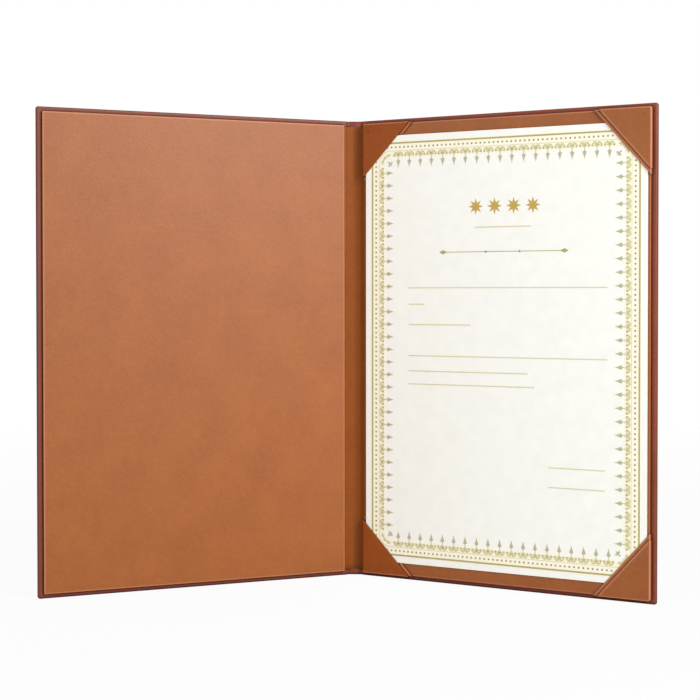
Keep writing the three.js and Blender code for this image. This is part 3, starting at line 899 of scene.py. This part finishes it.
# %% A tree that sets a motif along the four sides of a rectangle
def sides_tree(name, motif, material):
    """Geometry Nodes: copies of a motif along four lines, each turned to point inwards."""
    tree = bpy.data.node_groups.new(name, "GeometryNodeTree")
    for socket, kind in (("Width", "NodeSocketFloat"), ("Height", "NodeSocketFloat"),
                         ("Row Width", "NodeSocketFloat"), ("Row Height", "NodeSocketFloat"),
                         ("Copies Across", "NodeSocketInt"), ("Copies Up", "NodeSocketInt")):
        tree.interface.new_socket(socket, in_out="INPUT", socket_type=kind)
    tree.interface.new_socket("Geometry", in_out="OUTPUT", socket_type="NodeSocketGeometry")
    given = add(tree, "NodeGroupInput").outputs
    shape = add(tree, "GeometryNodeObjectInfo", {"Object": motif})
    joined = add(tree, "GeometryNodeJoinGeometry")
    sides = (
        ("Height", "Row Width", "Copies Across", 0),
        ("Height", "Row Width", "Copies Across", pi),
        ("Width", "Row Height", "Copies Up", pi / 2),
        ("Width", "Row Height", "Copies Up", -pi / 2),
    )
    for across, row, copies, turn in sides:
        half_row = add(tree, "ShaderNodeMath", {0: given[row], 1: 0.5}, operation="MULTIPLY")
        half_across = add(tree, "ShaderNodeMath", {0: given[across], 1: -0.5}, operation="MULTIPLY")
        minus = add(tree, "ShaderNodeMath", {0: half_row.outputs[0], 1: -1.0}, operation="MULTIPLY")
        start = add(tree, "ShaderNodeCombineXYZ", {"X": minus.outputs[0], "Y": half_across.outputs[0]})
        end = add(tree, "ShaderNodeCombineXYZ", {"X": half_row.outputs[0], "Y": half_across.outputs[0]})
        line = add(tree, "GeometryNodeCurvePrimitiveLine", {"Start": start.outputs[0], "End": end.outputs[0]})
        stops = add(tree, "GeometryNodeResampleCurve", {"Curve": line.outputs[0], "Count": given[copies]})
        copied = add(tree, "GeometryNodeInstanceOnPoints", {
            "Points": stops.outputs[0], "Instance": shape.outputs["Geometry"]})
        turned = add(tree, "GeometryNodeTransform", {"Geometry": copied.outputs[0], "Rotation": (0, 0, turn)})
        tree.links.new(turned.outputs[0], joined.inputs[0])
    real = add(tree, "GeometryNodeRealizeInstances", {"Geometry": joined.outputs[0]})
    inked = add(tree, "GeometryNodeSetMaterial", {"Geometry": real.outputs[0], "Material": material})
    add(tree, "NodeGroupOutput", {"Geometry": inked.outputs[0]})
    return tree


def set_inputs(modifier, values):
    """Sets a Geometry Nodes modifier's inputs by the names in its tree."""
    for item in modifier.node_group.interface.items_tree:
        if item.item_type == "SOCKET" and item.in_out == "INPUT" and item.name in values:
            modifier[item.identifier] = values[item.name]


def on_sheet(x, y, lift=0.0):
    """A point of the sheet's face, from its middle, in the row's frame."""
    return on_board(1, SHEET_MIDDLE_X + x, SHEET_FRONT - INK_LIFT - lift, SHEET_MIDDLE_Z + y)


def ink_piece(obj):
    """Puts a flat ink mesh, drawn in sheet millimetres, on the sheet and lets it ride."""
    for vertex in obj.data.vertices:
        vertex.co = on_sheet(vertex.co.x, vertex.co.y, vertex.co.z)
    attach(obj, "back_cover")
    print(f"{obj.name}: {len(obj.data.polygons)} faces")
    return obj


def printed_row(name, tree, margin, pitch, corner_room):
    """A row of motifs round the sheet, at a margin from its edge."""
    width = SHEET_WIDTH - 2 * margin
    height = SHEET_HEIGHT - 2 * margin
    across = int((width - 2 * corner_room) / pitch)
    up = int((height - 2 * corner_room) / pitch)
    obj = bpy.data.objects.new(name, bpy.data.meshes.new(name))
    bpy.context.collection.objects.link(obj)
    rows = obj.modifiers.new("rows", "NODES")
    rows.node_group = tree
    set_inputs(rows, {
        "Width": float(width), "Height": float(height), "Row Width": float(across * pitch),
        "Row Height": float(up * pitch), "Copies Across": across + 1, "Copies Up": up + 1})
    return ink_piece(plain_mesh(obj))


# %% Dots, fans, eyes and spears
DOT_ROOM = 2.0
DOT_MARGIN = 8.3
DOT_PITCH = 3.3
MOTIF_MARGIN = 11.2
MOTIF_PITCH = 8.75
CORNER_ROOM = 14.0
printed_row("border_dots", sides_tree("dots_on_sides", dot_motif, olive_ink), DOT_MARGIN, DOT_PITCH, DOT_ROOM)
for name, motif, ink in (("fans", fan_motif, pale_gold_ink), ("eyes", eye_motif, spear_ink),
                         ("spears", spear_motif, spear_ink)):
    row = printed_row(f"border_{name}", sides_tree(f"{name}_on_sides", motif, ink),
                      MOTIF_MARGIN, MOTIF_PITCH, CORNER_ROOM)
    if name == "spears":
        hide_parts("certificate_border_band")
for motif in (dot_motif, fan_motif, eye_motif, spear_motif):
    bpy.data.objects.remove(motif)


# %% [markdown]
# ## The sheet's other print
#
# A cream tint lies under the border, a frame line runs outside the dots and a thin line inside them, and
# small sprigs turn the corners. Inside, the sheet has plain ruled lines to write on, a divider, and four
# rosettes as its heading.

# %% Printed lines
QUADRANTS = ((-1, -1), (-1, 1), (1, -1), (1, 1))


def bar(x_start, x_end, y, width):
    """A ruled line between two places."""
    low, high = y - width / 2, y + width / 2
    return [(x_start, low), (x_end, low), (x_end, high), (x_start, high)]


def rosette(x, y, radius, petals=8):
    """A star-like rosette."""
    radii = [radius, radius * 0.45] * petals
    return [(x + r * cos(pi * i / petals), y + r * sin(pi * i / petals)) for i, r in enumerate(radii)]


def printed_plates(name, outlines, material, lift=0.0):
    """Separate printed shapes, joined in one piece. A lift below 0 puts them under the other print."""
    obj = ink_motif(name, outlines, material)
    for vertex in obj.data.vertices:
        vertex.co.z += lift
    bpy.context.collection.objects.link(obj)
    return ink_piece(obj)


def ring(margin, width, radius):
    """Straight bars and corner arcs of a line round the sheet, as separate outlines."""
    x, y = SHEET_WIDTH / 2 - margin, SHEET_HEIGHT / 2 - margin
    outlines = [
        bar(-x + radius, x - radius, y - width / 2, width),
        bar(-x + radius, x - radius, -y + width / 2, width),
        bar(-x, -x + width, 0, 2 * (y - radius)),
        bar(x - width, x, 0, 2 * (y - radius))]
    turns = quarter_turn(CORNER_STEPS)
    arc = [(radius, turn) for turn in turns] + [(radius - width, turn) for turn in reversed(turns)]
    for sign_x, sign_y in QUADRANTS:
        outlines.append([
            (sign_x * (x - radius + r * cos(t)), sign_y * (y - radius + r * sin(t))) for r, t in arc])
    return outlines


def frame_band(outer_margin, inner_margin):
    """Four bars that fill the frame between two margins."""
    x, y = SHEET_WIDTH / 2 - outer_margin, SHEET_HEIGHT / 2 - outer_margin
    width = inner_margin - outer_margin
    return [bar(-x, x, y - width / 2, width), bar(-x, x, -y + width / 2, width),
            bar(-x, -x + width, 0, 2 * (y - width)), bar(x - width, x, 0, 2 * (y - width))]


# The tint's outer and inner margins, and each line's margin, width and corner radius
TINT_BAND = (4.4, 15.6)
TINT_LIFT = -0.02
THIN_LINE = (10.6, 0.4, 9.0)
FRAME_LINE = (4.8, 1.15, 2.0)
printed_plates("border_tint", frame_band(*TINT_BAND), cream_tint, TINT_LIFT)
printed_plates("border_thin_line", ring(*THIN_LINE), pale_gold_ink)
frame_line = printed_plates("border_frame_line", ring(*FRAME_LINE), gold_ink)
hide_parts("certificate_frame_line")

# %% Corner flowers: leaves round a corner, and one flower that points to the sheet's middle
CORNER_CENTRE = 20.4
LEAF_ARC = 8.2
LEAF_DEGREES = (18, 45, 72)
LEAF_LEANS = (-0.7, 0, 0.7)
PETAL_LEANS = (-0.9, 0, 0.9)
HEART_STEP = 1.2
EYE_STEP = 0.9
EYE_RADIUS = 0.7
LEAF = ((0, 0), (0.55, 1.0), (0.45, 2.1), (0, 2.8), (-0.45, 2.1), (-0.55, 1.0))
PETAL = ((0, 0), (0.6, 1.0), (0.5, 2.0), (0, 2.9), (-0.5, 2.0), (-0.6, 1.0))


def pointing(shape, base, along):
    """An outline drawn along +Y, moved to a base point and turned to point along a direction."""
    across = Vector((-along.y, along.x))
    return [tuple(base + across * a + along * b) for a, b in shape]


corner_leaves, corner_eyes = [], []
for sign_x, sign_y in QUADRANTS:
    centre = Vector((sign_x * (SHEET_WIDTH / 2 - CORNER_CENTRE), sign_y * (SHEET_HEIGHT / 2 - CORNER_CENTRE)))
    for out in map(radians, LEAF_DEGREES):
        base = centre + Vector((sign_x * cos(out), sign_y * sin(out))) * LEAF_ARC
        for lean in LEAF_LEANS:
            inward = Vector((-sign_x * cos(out + lean), -sign_y * sin(out + lean)))
            corner_leaves.append(pointing(LEAF, base, inward))
    heart = centre + Vector((sign_x, sign_y)) * HEART_STEP
    tip = Vector((-sign_x, -sign_y)).normalized()
    side = Vector((-tip.y, tip.x))
    for lean in PETAL_LEANS:
        corner_eyes.append(pointing(PETAL, heart, tip * cos(lean) + side * sin(lean)))
    corner_eyes.append(disc(*(heart - tip * EYE_STEP), EYE_RADIUS))
printed_plates("corner_leaves", corner_leaves, pale_gold_ink)
printed_plates("corner_flowers", corner_eyes, spear_ink)

# %% Heading rosettes, divider and ruled lines
HEADING_UP = 97.5
HEADING_PITCH = 14.2
HEADING_X = 3.0
ROSETTE_RADIUS = 5.6
printed_plates("heading_rosettes", [
    rosette(HEADING_X + step * HEADING_PITCH, HEADING_UP, ROSETTE_RADIUS) for step in (-1.5, -0.5, 0.5, 1.5)
], bold_gold_ink)

DIVIDER_UP = 67.0
DIVIDER_X = 1.9
DIVIDER_HALF = 47.0
DIVIDER_TIP = ((1.2, 0), (-1.6, 1.5), (-3.2, 0.7), (-5.0, 0), (-3.2, -0.7), (-1.6, -1.5))
DIVIDER_WIDTH = 0.5
BEAD_PLACE = 12.6
BEAD_RADIUS = 0.8
bar_half = DIVIDER_HALF - 3
divider_shapes = [bar(DIVIDER_X - bar_half, DIVIDER_X + bar_half, DIVIDER_UP, DIVIDER_WIDTH)]
for side in (-1, 1):
    tip = DIVIDER_X + side * DIVIDER_HALF
    divider_shapes.append([(tip + side * x, DIVIDER_UP + y) for x, y in DIVIDER_TIP])
    divider_shapes.append(disc(DIVIDER_X + side * BEAD_PLACE, DIVIDER_UP, BEAD_RADIUS))
divider = printed_plates("divider_line", divider_shapes, gold_ink)
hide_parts("certificate_divider")

RULED_WIDTH = 0.7
# Left end, right end and height of each line, from the sheet's middle
RULED_LINES = (
    (-19, 23, 83.5),
    (-70.4, 77.5, 42.8),
    (-70.4, -58, 31.5),
    (-70.4, -22, 17.5),
    (-70.4, 77.5, -4.0),
    (-70.4, 20.5, -14.5),
    (-70.4, 25.5, -23.5),
    (36, 76, -76.0),
    (36, 76, -89.0),
)
printed_plates("ruled_lines", [bar(*line, RULED_WIDTH) for line in RULED_LINES], pale_gold_ink)

# %% [markdown]
# ## Ready for the camera
#
# Colours are shown plainly, without a film look.

# %% Colour view
bpy.context.scene.view_settings.view_transform = "Standard"
